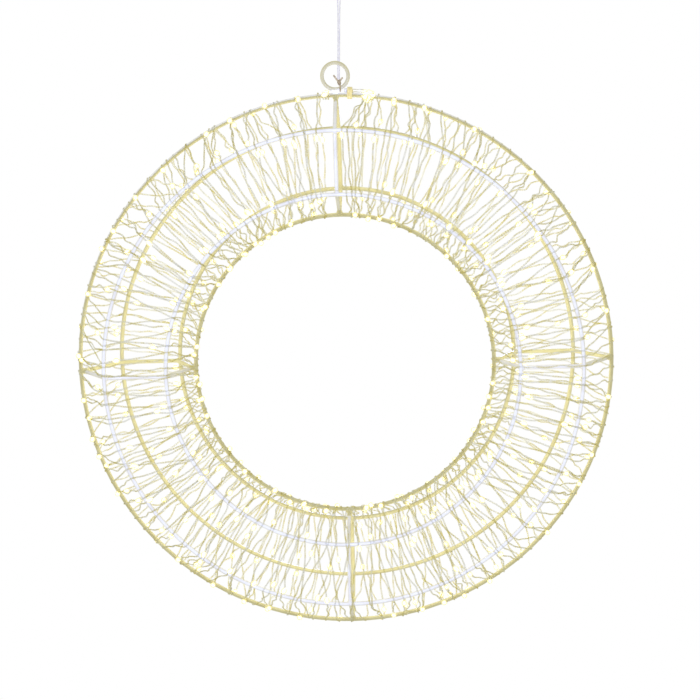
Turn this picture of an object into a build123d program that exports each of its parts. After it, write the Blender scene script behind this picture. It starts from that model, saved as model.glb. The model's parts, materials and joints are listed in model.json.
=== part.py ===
from build123d import *
import math
import os
import random

# Light wreath frame: a welded wire cage of six hoops on four bent-wire ribs, hung from a ring and
# wound all round with a string of droplet lamps.
# Millimetres and degrees. The origin is the middle of the hanging eye, +Z is up, the wreath's axis is Y
# and its front faces -Y. An angle round the wreath is clockwise from the top, seen from the front.

# ---- Driving dimensions of the welded frame ----
FRAME_WIRE = 3.0            # coated steel wire of the hoops and ribs
OUTER_RADIUS = 198.5        # centreline radius of the outer hoop: 400 over the wire
INNER_RADIUS = 111.5        # centreline radius of the inner hoop
FLAT_OUTER_RADIUS = 174.0   # the larger hoop of the front and of the back
FLAT_INNER_RADIUS = 128.7   # the smaller hoop of the front and of the back
HALF_DEPTH = 38.0           # from the middle plane to the front and back hoops
RIB_BEND = 5.0              # bend radius at the corners of a rib
WELD_GAP = 0.2              # weld metal left between crossing wires
WELD_RADIUS = 2.3           # size of the nugget at each crossing
RIB_ANGLES = {"top": 0, "right": 90, "bottom": 180, "left": 270}

# ---- Hanging eye ----
EYE_WIRE = 2.6
EYE_RADIUS = 9.5            # centreline radius of the ring
EYE_ABOVE_HOOP = 13.8       # from the outer hoop's centreline up to the middle of the ring
NECK_TOP_WIDTH = 6.0        # the weld neck is a V under the ring
NECK_BOTTOM_WIDTH = 2.8
NECK_THICKNESS = 2.0
NECK_OVERLAP = 0.3          # how far the weld runs into the ring and the hoop before it is cut back

# ---- Light string ----
STRING_WIRE = 0.9           # over the twisted conductors
TURNS_PER_LAYER = 88
STRING_START = 9.0          # the turns fill the ring between these two angles
STRING_END = 356.3
UNDER_OFFSET = 2.05         # first layer's centreline, outside the centres of the hoops
OVER_OFFSET = 3.05          # second layer, wound back over the first
LEAN_WAVES = [(1.9, 5, 8), (0.9, 11, 15)]   # how far the turns lean along a hoop, and how often round it
JITTER = 0.45               # how far a single turn strays from that
FULL_LEAN_TURNS = 3         # a layer starts and ends straight, and leans fully after this many turns
STRANDS_PER_LAYER = 4
LAMP_PITCH = 112.0          # along the string
LAMP_SCATTER = 12.0
LAMP_RADIUS = 1.85
LAMP_LENGTH = 4.8
LAMP_SIDE = 1.4             # a droplet's axis stands this far to one side of its wire
LAMP_FROM_HOOP = 5.4        # nearest that a lamp's middle comes to a bend in the wire
LAMP_PULL = 0.35            # the lamps gather near the hoops
LAMP_SPACE = 5.0            # least distance between two lamps of a layer
LAMP_FROM_RIB = 4.3         # least distance from a lamp's middle to the plane of a rib
WIRE_SLOT = 0.5             # radius of the groove that the wire runs through in a droplet

# The layers as (name, offset, wound forwards, side that the lamps stand on, seed of the winding).
LAYERS = [
    ("under", UNDER_OFFSET, True, -1, 11),
    ("over", OVER_OFFSET, False, 1, 23),
]

# ---- Ends of the string and its lead ----
START_COIL = (5.8, 8.0)     # angles between which the string's ends are wrapped round the outer hoop
START_COIL_RADIUS = 5.0
TURN_COIL = (-2.75, -1.45)  # where the string turns back for its second layer
TURN_COIL_RADIUS = 3.9
COIL_BORE = 1.6
LEAD_OFFSETS = (2.4, 4.3)   # the two lead wires above the outer hoop's centreline
TIE_ANGLE = 2.95
TIE_WIDTH = 3.6
TIE_BAND = 1.1
TIE_SLOT = 1.6              # half the width of the space inside the tie
TIE_HEAD = (3.0, 4.4, TIE_WIDTH + 1.0)   # its size in depth, in height and along the hoop
TIE_HEAD_OUT = 1.2          # the middle of the head behind the band
TIE_HEAD_EDGE = 0.5
TIE_TAIL = (1.2, 2.6, TIE_WIDTH - 0.6)   # the cut end that stands on the head
TIE_TAIL_UP = 3.0
TIE_PLAY = 0.1              # between the band and the upper lead wire
SLEEVE = (1.8, 2.38)        # angles at the ends of the lead's sleeve
SLEEVE_OFFSET = 3.35
SLEEVE_RADIUS = 1.6

# ---- Hanging line ----
LINE_WIRE = 0.9
LINE_LOOP_X = 3.45          # where the line is tied round the ring's wire, right of its lowest point
LINE_LOOP_RADIUS = 2.35
LINE_HALF_GAP = 0.75        # half the distance between the two strands
LINE_LEAN = math.tan(math.radians(2.1))
LINE_FOOT_X = 2.5           # where the line's middle crosses the height of the ring's middle
LINE_RISE = [(0.75, -2.6), (2.4, 9.6), (2.6, 61.0)]   # depth and height up one strand
LINE_TOP = [(-4.0, 69), (-2.6, 76), (2.6, 76), (4.0, 69)]   # sideways and height round the top loop
LINE_TOP_MIDDLE = 66        # the loop is centred over the line at this height
KNOT_RADIUS = 1.5
KNOT_ENDS = [(3.1, 0.1, -5.2), (2.7, 0.5, -4.1)]
TAG_RADIUS = 0.55
LEFT_TAG = [(2.2, 0.2, -4.0), (-1.0, -0.4, 0.6)]
RIGHT_TAG = [(3.0, 0.4, -4.0), (5.4, -0.2, -1.3)]

CENTRE_Z = -(EYE_ABOVE_HOOP + OUTER_RADIUS)
WREATH_AXIS = Axis((0, 0, CENTRE_Z), (0, 1, 0))
LINE_LOOP_Z = -math.sqrt(EYE_RADIUS**2 - LINE_LOOP_X**2)

# The hoops in the order that a turn of the string crosses them, as (name, radius, depth).
HOOPS = [
    ("outer_hoop", OUTER_RADIUS, 0.0),
    ("front_outer_hoop", FLAT_OUTER_RADIUS, -HALF_DEPTH),
    ("front_inner_hoop", FLAT_INNER_RADIUS, -HALF_DEPTH),
    ("inner_hoop", INNER_RADIUS, 0.0),
    ("back_inner_hoop", FLAT_INNER_RADIUS, HALF_DEPTH),
    ("back_outer_hoop", FLAT_OUTER_RADIUS, HALF_DEPTH),
]
CORNERS = len(HOOPS)


def place(radius, depth, angle):
    """A point at a radius and depth, at an angle round the wreath."""
    turn = math.radians(angle)
    return Vector(radius * math.sin(turn), depth, CENTRE_Z + radius * math.cos(turn))


def corner(index):
    """The outward direction of a corner of the wreath's section, and half the angle inside it."""
    here = Vector(*HOOPS[index % CORNERS][1:])
    before = Vector(*HOOPS[(index - 1) % CORNERS][1:])
    after = Vector(*HOOPS[(index + 1) % CORNERS][1:])
    to_before = (before - here).normalized()
    to_after = (after - here).normalized()
    outward = (to_before + to_after).normalized() * -1
    return outward, math.radians(to_before.get_angle(to_after)) / 2


def section_point(index, distance, angle):
    """A corner of the section, moved outwards, at an angle round the wreath."""
    outward = corner(index)[0]
    _, radius, depth = HOOPS[index % CORNERS]
    return place(radius + outward.X * distance, depth + outward.Y * distance, angle)


def tube(path, radius):
    """A round wire along a path."""
    return sweep(Plane(origin=path @ 0, z_dir=path % 0) * Circle(radius), path=path)


def hoop(radius, depth):
    return Pos(0, depth, CENTRE_Z) * Rot(90, 0, 0) * Torus(radius, FRAME_WIRE / 2)


def around(face_at_top, start, end):
    """A section drawn at the top of the outer hoop, turned about the wreath's axis from start to end."""
    first = face_at_top.rotate(WREATH_AXIS, start)
    return revolve(first, axis=WREATH_AXIS, revolution_arc=end - start)


def top_section(offset):
    """The plane across the outer hoop at its highest point, this far above its centreline."""
    return Plane(origin=(0, 0, CENTRE_Z + OUTER_RADIUS + offset), x_dir=(0, 1, 0), z_dir=(1, 0, 0))


def rib():
    """The rib at the top: a closed hexagon of bent wire, whose corners the hoops are welded to."""
    points = []
    for index in range(CORNERS):
        half = corner(index)[1]
        bend_depth = RIB_BEND * (1 / math.sin(half) - 1)
        points.append(section_point(index, bend_depth - FRAME_WIRE - WELD_GAP, RIB_ANGLES["top"]))
    return tube(FilletPolyline(*points, radius=RIB_BEND, close=True), FRAME_WIRE / 2)


def rib_welds(top_rib, hoop_solids):
    """One nugget of weld between each hoop and the top rib, which the other ribs' welds repeat."""
    nuggets = []
    for index in range(CORNERS):
        middle = section_point(index, -(FRAME_WIRE + WELD_GAP) / 2, RIB_ANGLES["top"])
        nuggets.append(Pos(*middle) * Sphere(WELD_RADIUS) - top_rib - hoop_solids[index])
    return nuggets


def hanging_eye():
    return Rot(90, 0, 0) * Torus(EYE_RADIUS, EYE_WIRE / 2)


def eye_weld(eye_solid, hoop_solid, rib_solid):
    """The V of weld that holds the ring on the outer hoop."""
    top = -EYE_RADIUS - NECK_OVERLAP
    bottom = -EYE_ABOVE_HOOP + NECK_OVERLAP
    outline = Polygon(
        (-NECK_TOP_WIDTH / 2, top),
        (NECK_TOP_WIDTH / 2, top),
        (NECK_BOTTOM_WIDTH / 2, bottom),
        (-NECK_BOTTOM_WIDTH / 2, bottom),
        align=None,
    )
    neck = extrude(Plane.XZ * outline, NECK_THICKNESS / 2, both=True)
    return neck - eye_solid - hoop_solid - rib_solid


def string_angles(forward, seed):
    """Where each bend of a layer's turns lies round the wreath.

    The turns bunch and lean along each hoop in waves of its own, so that the runs cross from layer to
    layer, and never within one.
    """
    chance = random.Random(seed)
    waves = []
    for _ in HOOPS:
        hoop_waves = []
        for reach, fewest, most in LEAN_WAVES:
            hoop_waves.append((reach, chance.uniform(fewest, most), chance.uniform(0, 2 * math.pi)))
        waves.append(hoop_waves)
    bends = TURNS_PER_LAYER * CORNERS
    pitch = (STRING_END - STRING_START) / bends
    angles = []
    for bend in range(bends + 1):
        from_end = min(1.0, min(bend, bends - bend) / (FULL_LEAN_TURNS * CORNERS))
        along = STRING_START + bend * pitch
        stray = chance.uniform(-JITTER, JITTER)
        for reach, count, phase in waves[bend % CORNERS]:
            stray += reach * math.sin(math.radians(along) * count + phase)
        along += stray * from_end
        angles.append(along if forward else STRING_START + STRING_END - along)
    return angles


def string_bends(offset, angles):
    """The sharp corners of a layer's route, one where the wire goes over each hoop."""
    bends = []
    for bend, angle in enumerate(angles):
        half = corner(bend)[1]
        bends.append(section_point(bend, offset / math.sin(half), angle))
    return bends


def string_strand(bends, first, last, offset):
    """The wire from the middle of one run to the middle of another, or to the layer's own end."""
    points = list(bends[first:last + 1])
    if first > 0:
        points.insert(0, (bends[first - 1] + bends[first]) / 2)
    if last < len(bends) - 1:
        points.append((bends[last] + bends[last + 1]) / 2)
    return tube(FilletPolyline(*points, radius=offset), STRING_WIRE / 2)


def droplet():
    """A drop of clear resin on one side of its wire, which runs along Z."""
    middle = LAMP_LENGTH - 2 * LAMP_RADIUS
    body = Cylinder(LAMP_RADIUS, middle) + Pos(0, 0, middle / 2) * Sphere(LAMP_RADIUS)
    body += Pos(0, 0, -middle / 2) * Sphere(LAMP_RADIUS)
    return Pos(LAMP_SIDE, 0, 0) * body - Cylinder(WIRE_SLOT, 2 * LAMP_LENGTH)


def lamp_places(bends, seed):
    """Each lamp's run of the string and its distance along it, about one lamp pitch apart."""
    chance = random.Random(seed)
    places = []
    middles = []
    travelled = 0.0
    next_lamp = LAMP_PITCH / 2
    for run in range(len(bends) - 1):
        start = bends[run]
        span = bends[run + 1] - start
        if next_lamp < travelled + span.length:
            from_start = next_lamp - travelled
            near = min(from_start, span.length - from_start)
            near = LAMP_FROM_HOOP + LAMP_PULL * near
            along = near if from_start < span.length / 2 else span.length - near
            middle = start + span.normalized() * along
            from_rib = min(abs(middle.X), abs(middle.Z - CENTRE_Z))
            if from_rib > LAMP_FROM_RIB and all((middle - other).length > LAMP_SPACE for other in middles):
                places.append((run, along))
                middles.append(middle)
            next_lamp += LAMP_PITCH + chance.uniform(-LAMP_SCATTER, LAMP_SCATTER)
        travelled += span.length
    return places


def lamps_on(bends, places, first, last, lamp, side):
    """The lamps of one strand: side 1 stands them outwards, -1 inwards."""
    solids = []
    for run, along in places:
        if first <= run < last:
            start = bends[run]
            way = (bends[run + 1] - start).normalized()
            middle = start + way * along
            centre = section_centre(middle)
            outward = (middle - centre) * side
            outward = (outward - way * outward.dot(way)).normalized()
            solids.append(Plane(origin=middle, x_dir=outward, z_dir=way).location * lamp)
    return solids


def section_centre(point):
    """The middle of the wreath's section at the same angle as a point."""
    angle = math.degrees(math.atan2(point.X, point.Z - CENTRE_Z))
    return place((OUTER_RADIUS + INNER_RADIUS) / 2, 0, angle)


def coil(angles, radius):
    """The outside of the string's wraps round the outer hoop, with the hoop's space left open."""
    ring = top_section(0) * (Circle(radius) - Circle(COIL_BORE))
    return around(ring, *angles)


def lead_wires():
    wires = []
    for offset in LEAD_OFFSETS:
        section = top_section(offset) * Circle(STRING_WIRE / 2)
        wires.append(around(section, SLEEVE[1], START_COIL[0]))
    return wires


def lead_sleeve():
    return around(top_section(SLEEVE_OFFSET) * Circle(SLEEVE_RADIUS), *SLEEVE)


def cable_tie():
    """A band round the hoop and the lead wires, with its head and the cut tail behind."""
    upper = LEAD_OFFSETS[1] + STRING_WIRE / 2 + TIE_PLAY - TIE_SLOT
    plane = top_section(upper / 2)
    slot = Rot(0, 0, 90) * SlotCenterToCenter(upper, 2 * TIE_SLOT)
    band = Rot(0, 0, 90) * SlotCenterToCenter(upper, 2 * (TIE_SLOT + TIE_BAND))
    body = extrude(plane * band, TIE_WIDTH / 2, both=True) - extrude(plane * slot, TIE_WIDTH, both=True)
    head_middle = TIE_SLOT + TIE_BAND + TIE_HEAD_OUT
    head = plane.location * Pos(head_middle, 0, 0) * Box(*TIE_HEAD)
    head = fillet(head.edges(), TIE_HEAD_EDGE)
    tail = plane.location * Pos(head_middle, TIE_TAIL_UP, 0) * Box(*TIE_TAIL)
    body = body + head + tail
    return body.rotate(WREATH_AXIS, TIE_ANGLE)


def line_route():
    """Up from the knot, behind the top of the ring, round a small loop and down again beside itself."""
    middle = [(LINE_FOOT_X + LINE_LEAN * z, y, z) for y, z in LINE_RISE]
    up = [(x - LINE_HALF_GAP, y, z) for x, y, z in middle]
    down = [(x + LINE_HALF_GAP, y, z) for x, y, z in reversed(middle)]
    top_x = LINE_FOOT_X + LINE_LEAN * LINE_TOP_MIDDLE
    top_y = LINE_RISE[-1][0]
    loop = [(top_x + x, top_y, z) for x, z in LINE_TOP]
    return [Vector(*point) for point in up + loop + down]


def bend_radii(points, share=0.45):
    """The largest arc that the two runs at each corner allow."""
    radii = []
    for before, here, after in zip(points, points[1:], points[2:]):
        into = here - before
        out = after - here
        turn = math.radians(into.get_angle(out))
        radii.append(share * min(into.length, out.length) / math.tan(turn / 2))
    return radii


def hanging_line():
    points = line_route()
    radii = bend_radii(points)
    print("hanging_line radii, mm:", [round(radius, 1) for radius in radii])
    path = FilletPolyline(*points, radius=radii)
    print("hanging_line length, mm:", round(path.length, 1))
    return tube(path, LINE_WIRE / 2)


def rod(start, end, radius):
    """A round-ended stub between two points."""
    middle = (start + end) / 2
    body = Plane(origin=middle, z_dir=end - start).location * Cylinder(radius, (end - start).length)
    return body + Pos(*start) * Sphere(radius) + Pos(*end) * Sphere(radius)


def line_knot():
    """The knot, its two tag ends, and the loop round the ring's wire that turns on it."""
    loop = Pos(LINE_LOOP_X, 0, LINE_LOOP_Z) * Rot(0, 90, 0) * Torus(LINE_LOOP_RADIUS, LINE_WIRE / 2)
    for ends, radius in ((KNOT_ENDS, KNOT_RADIUS), (LEFT_TAG, TAG_RADIUS), (RIGHT_TAG, TAG_RADIUS)):
        loop += rod(Vector(*ends[0]), Vector(*ends[1]), radius)
    return loop


def main():
    parts = {}
    hoops = [hoop(radius, depth) for _, radius, depth in HOOPS]
    for (name, _, _), solid in zip(HOOPS, hoops):
        parts[name] = solid
    top_rib = rib()
    nuggets = rib_welds(top_rib, hoops)
    for side, angle in RIB_ANGLES.items():
        parts[f"rib_{side}"] = top_rib.rotate(WREATH_AXIS, angle)
        parts[f"rib_welds_{side}"] = [nugget.rotate(WREATH_AXIS, angle) for nugget in nuggets]
    eye = hanging_eye()
    parts["hanging_eye"] = eye
    parts["eye_weld"] = eye_weld(eye, hoops[0], top_rib)

    lamp = droplet()
    for layer, offset, forward, side, seed in LAYERS:
        bends = string_bends(offset, string_angles(forward, seed))
        places = lamp_places(bends, seed + 1)
        per_strand = math.ceil(len(bends) / STRANDS_PER_LAYER)
        for strand in range(STRANDS_PER_LAYER):
            first = strand * per_strand
            last = min(first + per_strand, len(bends)) - 1
            wire = string_strand(bends, first, last, offset)
            parts[f"light_wire_{layer}_{strand + 1}"] = wire
            lamps = lamps_on(bends, places, first, last, lamp, side)
            parts[f"lamps_{layer}_{strand + 1}"] = lamps
            length = wire.volume / (math.pi * STRING_WIRE**2 / 4)
            print(layer, strand + 1, "wire, mm:", round(length), "lamps:", len(lamps))

    parts["start_coil"] = coil(START_COIL, START_COIL_RADIUS)
    parts["turn_coil"] = coil(TURN_COIL, TURN_COIL_RADIUS)
    parts["lead_wires"] = lead_wires()
    parts["lead_sleeve"] = lead_sleeve()
    parts["cable_tie"] = cable_tie()
    parts["hanging_line"] = hanging_line()
    parts["line_knot"] = line_knot()

    os.makedirs("parts", exist_ok=True)
    for name, shape in parts.items():
        solids = shape if isinstance(shape, list) else [shape]
        whole = Compound(children=[Solid(solid.solid().wrapped) for solid in solids])
        export_step(whole, f"parts/{name}.step")


main()
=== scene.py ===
"""Looks of a light wreath: a white coated wire cage, wound with a string of droplet lamps and hung on a line.

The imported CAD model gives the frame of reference: metres, the origin in the middle of the hanging eye,
+Z up, the wreath's axis along Y and its front facing -Y. An angle round the wreath is clockwise from
the top, seen from the front.
"""

import json
import logging
import math
import random
from collections.abc import Callable
from dataclasses import dataclass, field
from enum import Enum

import bmesh
import bpy
from mathutils import Matrix, Vector

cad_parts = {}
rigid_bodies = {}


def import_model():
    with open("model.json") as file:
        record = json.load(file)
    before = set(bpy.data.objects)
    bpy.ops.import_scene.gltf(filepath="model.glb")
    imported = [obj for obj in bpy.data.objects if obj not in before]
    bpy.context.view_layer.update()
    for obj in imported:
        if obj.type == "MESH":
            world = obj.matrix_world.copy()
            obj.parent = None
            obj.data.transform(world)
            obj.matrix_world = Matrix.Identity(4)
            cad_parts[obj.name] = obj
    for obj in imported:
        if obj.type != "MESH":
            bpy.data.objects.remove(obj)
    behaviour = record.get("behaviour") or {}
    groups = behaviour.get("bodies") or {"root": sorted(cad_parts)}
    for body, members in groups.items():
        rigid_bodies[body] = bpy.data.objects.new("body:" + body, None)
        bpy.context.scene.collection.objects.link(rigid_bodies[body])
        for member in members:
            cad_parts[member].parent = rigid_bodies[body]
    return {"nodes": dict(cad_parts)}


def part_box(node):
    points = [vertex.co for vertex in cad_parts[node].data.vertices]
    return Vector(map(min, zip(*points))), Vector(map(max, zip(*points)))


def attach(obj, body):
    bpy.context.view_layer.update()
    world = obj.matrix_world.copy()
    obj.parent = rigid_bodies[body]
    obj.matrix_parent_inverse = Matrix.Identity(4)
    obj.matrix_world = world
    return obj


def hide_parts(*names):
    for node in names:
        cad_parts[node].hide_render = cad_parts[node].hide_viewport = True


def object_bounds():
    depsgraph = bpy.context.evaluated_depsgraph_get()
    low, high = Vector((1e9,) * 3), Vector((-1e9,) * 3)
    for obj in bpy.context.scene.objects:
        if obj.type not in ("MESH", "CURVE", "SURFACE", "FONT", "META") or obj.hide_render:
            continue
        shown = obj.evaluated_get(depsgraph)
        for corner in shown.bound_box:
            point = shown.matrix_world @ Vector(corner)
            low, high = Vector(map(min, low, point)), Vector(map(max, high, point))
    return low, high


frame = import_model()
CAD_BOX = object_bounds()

log = logging.getLogger("light_wreath")
MM = 0.001
TAU = 2 * math.pi
Socket = bpy.types.NodeSocket
Material = bpy.types.Material


# ---------------------------------------------------------------- finishes


def linear(colour: str) -> tuple[float, float, float, float]:
    """Turns an sRGB hex colour to the linear colour that a shader takes.

    Args:
        colour: Six hex digits after a hash sign.

    Returns:
        Red, green, blue and an alpha of one.
    """
    channels = [int(colour[i:i + 2], 16) / 255 for i in (1, 3, 5)]
    made = [c / 12.92 if c <= 0.04045 else ((c + 0.055) / 1.055) ** 2.4 for c in channels]
    return (made[0], made[1], made[2], 1.0)


def per_metre(millimetres: float) -> float:
    """The scale of a pattern whose features are this many millimetres across."""
    return 1.0 / (millimetres * MM)


def add_node(
    tree: bpy.types.NodeTree, kind: str, settings: dict | None = None, links: dict | None = None
) -> bpy.types.Node:
    """Adds one node to a tree, sets it up and joins it to earlier nodes.

    Args:
        tree: The node tree.
        kind: The node's type name, without its Shader node prefix.
        settings: Values by property name, or by input socket name or number.
        links: Output sockets by the input socket's name or number.

    Returns:
        The new node.
    """
    node = tree.nodes.new("ShaderNode" + kind)
    for key, value in (settings or {}).items():
        if isinstance(key, str) and hasattr(node, key):
            setattr(node, key, value)
        else:
            node.inputs[key].default_value = value
    for key, output in (links or {}).items():
        tree.links.new(output, node.inputs[key])
    return node


class Surface:
    """A material under construction: its tree, its shader and its pattern coordinates."""

    def __init__(self, name: str, shader: dict) -> None:
        """Makes the material with a Principled shader.

        Args:
            name: The material's name.
            shader: Values of the shader's sockets.
        """
        self.material = bpy.data.materials.new(name)
        self.material.use_nodes = True
        self.tree = self.material.node_tree
        self.tree.nodes.clear()
        self.shader = add_node(self.tree, "BsdfPrincipled", shader)
        add_node(self.tree, "OutputMaterial", links={"Surface": self.shader.outputs[0]})
        self.place = add_node(self.tree, "TexCoord").outputs["Object"]

    def noise(self, size_mm: float, detail: float = 2.0) -> Socket:
        """Adds a noise pattern.

        Args:
            size_mm: How wide its patches are.
            detail: Octaves of finer patches.

        Returns:
            The pattern's value output.
        """
        settings = {"Scale": per_metre(size_mm), "Detail": detail}
        return add_node(self.tree, "TexNoise", settings, {"Vector": self.place}).outputs["Fac"]

    def ramp(self, value: Socket, low: float, high: float, bottom: float = 0.0, top: float = 1.0) -> Socket:
        """Maps the range from low to high onto that from bottom to top, and clamps it."""
        settings = {"clamp": True, "From Min": low, "From Max": high, "To Min": bottom, "To Max": top}
        return add_node(self.tree, "MapRange", settings, {"Value": value}).outputs["Result"]

    def blend(self, value: Socket, first: str, second: str) -> Socket:
        """Mixes two colours.

        Args:
            value: The share of the second colour, from 0 to 1.
            first: An sRGB hex colour.
            second: Another.

        Returns:
            The mixed colour's output.
        """
        mix = add_node(self.tree, "Mix", {"data_type": "RGBA"}, {0: value})
        mix.inputs[6].default_value = linear(first)
        mix.inputs[7].default_value = linear(second)
        return mix.outputs[2]

    def feed(self, socket: str, output: Socket) -> None:
        """Joins an output to one of the shader's sockets."""
        self.tree.links.new(output, self.shader.inputs[socket])

    def bump(self, height: Socket, depth_mm: float, strength: float) -> None:
        """Raises the surface by a pattern.

        Args:
            height: The pattern's value output.
            depth_mm: How deep the relief is.
            strength: Share of the relief that shows.
        """
        settings = {"Distance": depth_mm * MM, "Strength": strength}
        self.feed("Normal", add_node(self.tree, "Bump", settings, {"Height": height}).outputs[0])


@dataclass(frozen=True)
class PowderCoat:
    """Polyester powder coat, sprayed on the welded wire and baked: satin white with a faint orange peel."""

    name: str = "powder_coat_satin_white"
    fresh: str = "#F6F5F3"
    dull: str = "#EAE7DF"
    peel_mm: float = 1.1
    patch_mm: float = 14.0

    def material(self) -> Material:
        """Builds the coat: soft highlights that break up a little, and slightly uneven white."""
        made = Surface(self.name, {"Roughness": 0.42, "IOR": 1.5})
        patches = made.noise(self.patch_mm, 3.0)
        made.feed("Base Color", made.blend(made.ramp(patches, 0.42, 0.66), self.fresh, self.dull))
        made.feed("Roughness", made.ramp(made.noise(4.0), 0.3, 0.7, 0.36, 0.5))
        made.bump(made.noise(self.peel_mm, 1.0), 0.05, 0.6)
        return made.material


@dataclass(frozen=True)
class LacqueredWire:
    """Drawn copper wire under a champagne lacquer: fine bright metal in the lacquer's own gold, with pale
    lavender-white patches that are painted highlights of the cool light.
    """

    name: str = "lacquered_wire_champagne"
    # pale is a painted highlight, lavender white; deep is the lacquer's own champagne gold.
    pale: str = "#F6F8FF"
    deep: str = "#EBE3A4"
    patch_mm: float = 7.0

    def material(self) -> Material:
        """Builds the lacquer over metal, with a coat for its gloss and patches of painted highlight on it."""
        shader = {"Metallic": 0.25, "Roughness": 0.34, "Coat Weight": 0.3, "Coat Roughness": 0.15}
        made = Surface(self.name, shader)
        patches = made.noise(self.patch_mm, 2.0)
        # Painted highlights: noise patches of pale lavender white among the lacquer's gold.
        made.feed("Base Color", made.blend(made.ramp(patches, 0.44, 0.56), self.pale, self.deep))
        made.feed("Roughness", made.ramp(made.noise(2.0), 0.3, 0.7, 0.26, 0.42))
        made.bump(made.noise(0.6, 1.0), 0.02, 0.5)
        return made.material


@dataclass(frozen=True)
class LampResin:
    """A drop of clear epoxy over a lit diode: it glows warm all through and thins out at its edge."""

    name: str = "epoxy_droplet_lit"
    body: str = "#FBF0CC"
    glow: str = "#F0DFA2"
    glow_strength: float = 0.78

    def material(self) -> Material:
        """Builds the lit resin: see-through, smooth and slightly cloudy."""
        shader = {
            "Roughness": 0.12,
            "IOR": 1.5,
            "Alpha": 0.78,
            "Emission Color": linear(self.glow),
            "Emission Strength": self.glow_strength,
        }
        made = Surface(self.name, shader)
        cloud = made.noise(1.6, 1.0)
        made.feed("Base Color", made.blend(made.ramp(cloud, 0.4, 0.65), self.body, self.glow))
        made.feed("Roughness", made.ramp(cloud, 0.3, 0.7, 0.08, 0.2))
        made.material.cycles.emission_sampling = "NONE"
        return made.material


@dataclass(frozen=True)
class LampCore:
    """The diode's chip and phosphor, far brighter than anything near it."""

    name: str = "phosphor_lit"
    pale: str = "#FFF7D6"
    deep: str = "#F5E08A"
    glow: str = "#FFF4D2"
    glow_strength: float = 5.0

    def material(self) -> Material:
        """Builds the phosphor: yellow powder behind its own light."""
        shader = {
            "Roughness": 0.6,
            "Emission Color": linear(self.glow),
            "Emission Strength": self.glow_strength,
        }
        made = Surface(self.name, shader)
        made.feed("Base Color", made.blend(made.ramp(made.noise(0.5), 0.35, 0.65), self.deep, self.pale))
        made.material.cycles.emission_sampling = "NONE"
        return made.material


@dataclass(frozen=True)
class Nylon:
    """Moulded or drawn polyamide: slightly waxy, and tinted."""

    name: str
    pale: str
    deep: str
    roughness: float
    alpha: float = 1.0
    grain_mm: float = 0.8

    def material(self) -> Material:
        """Builds the waxy plastic with its faint flow marks."""
        shader = {"Roughness": self.roughness, "IOR": 1.53, "Alpha": self.alpha}
        made = Surface(self.name, shader)
        marks = made.noise(self.grain_mm * 3, 2.0)
        made.feed("Base Color", made.blend(made.ramp(marks, 0.38, 0.64), self.pale, self.deep))
        low, high = self.roughness * 0.8, self.roughness * 1.25
        made.feed("Roughness", made.ramp(made.noise(self.grain_mm), 0.3, 0.7, low, high))
        made.bump(made.noise(self.grain_mm, 1.0), 0.03, 0.5)
        return made.material


# ---------------------------------------------------------------- the bench: making meshes by hand


def deselect_all() -> None:
    """Leaves nothing selected, in object mode."""
    if bpy.context.object and bpy.context.object.mode != "OBJECT":
        bpy.ops.object.mode_set(mode="OBJECT")
    bpy.ops.object.select_all(action="DESELECT")


def take(piece: bpy.types.Object) -> bpy.types.Object:
    """Makes one object the only selected and the active one."""
    deselect_all()
    piece.select_set(True)
    bpy.context.view_layer.objects.active = piece
    return piece


def new_piece(name: str) -> bpy.types.Object:
    """Names the primitive that was just added, and puts its place in its mesh."""
    piece = bpy.context.object
    piece.name = name
    piece.data.name = name
    bpy.ops.object.transform_apply(location=True, rotation=True, scale=True)
    return piece


def pick(piece: bpy.types.Object, test: Callable[[Vector, Vector], bool], kind: str) -> None:
    """Selects, in edit mode, the vertices or the faces that pass a test.

    Args:
        piece: The mesh object, taken and in edit mode.
        test: A function of the middle and the normal.
        kind: VERT or FACE.
    """
    bpy.ops.mesh.select_mode(type=kind)
    bpy.ops.mesh.select_all(action="DESELECT")
    shape = bmesh.from_edit_mesh(piece.data)
    shape.normal_update()
    for part in shape.faces if kind == "FACE" else shape.verts:
        middle = part.calc_center_median() if kind == "FACE" else part.co
        if test(middle, part.normal):
            part.select = True
    shape.select_flush_mode()
    bmesh.update_edit_mesh(piece.data)


def scale_about(centre: Vector, x: float, y: float, z: float) -> None:
    """Scales what is selected in edit mode about a point."""
    bpy.ops.transform.resize(value=(x, y, z), center_override=tuple(centre))


def join(pieces: list, name: str) -> bpy.types.Object:
    """Joins two or more objects into the first of them, and names it."""
    deselect_all()
    for piece in pieces:
        piece.select_set(True)
    bpy.context.view_layer.objects.active = pieces[0]
    bpy.ops.object.join()
    pieces[0].name = name
    pieces[0].data.name = name
    return pieces[0]


def copy_to(piece: bpy.types.Object, place: Matrix) -> bpy.types.Object:
    """Copies a piece with its own mesh, moved by a matrix."""
    made = piece.copy()
    made.data = piece.data.copy()
    made.data.transform(place)
    bpy.context.scene.collection.objects.link(made)
    return made


def tubes(name: str, lines: list, radius: float, sides: int = 0) -> bpy.types.Object:
    """Makes round wires along lines of points, as one mesh.

    Args:
        name: The piece's name.
        lines: Lists of points in metres.
        radius: The wire's radius in metres.
        sides: The bevel's resolution: 0 gives four sides, and each step two more.

    Returns:
        The mesh object, smooth shaded.
    """
    curve = bpy.data.curves.new(name, "CURVE")
    curve.dimensions = "3D"
    curve.bevel_depth = radius
    curve.bevel_resolution = sides
    curve.use_fill_caps = True
    for line in lines:
        spline = curve.splines.new("POLY")
        spline.points.add(len(line) - 1)
        flat = [value for point in line for value in (point.x, point.y, point.z, 1.0)]
        spline.points.foreach_set("co", flat)
    piece = bpy.data.objects.new(name, curve)
    bpy.context.scene.collection.objects.link(piece)
    take(piece)
    bpy.ops.object.convert(target="MESH")
    piece = bpy.context.object
    piece.name = name
    bpy.ops.object.shade_smooth()
    return piece


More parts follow.
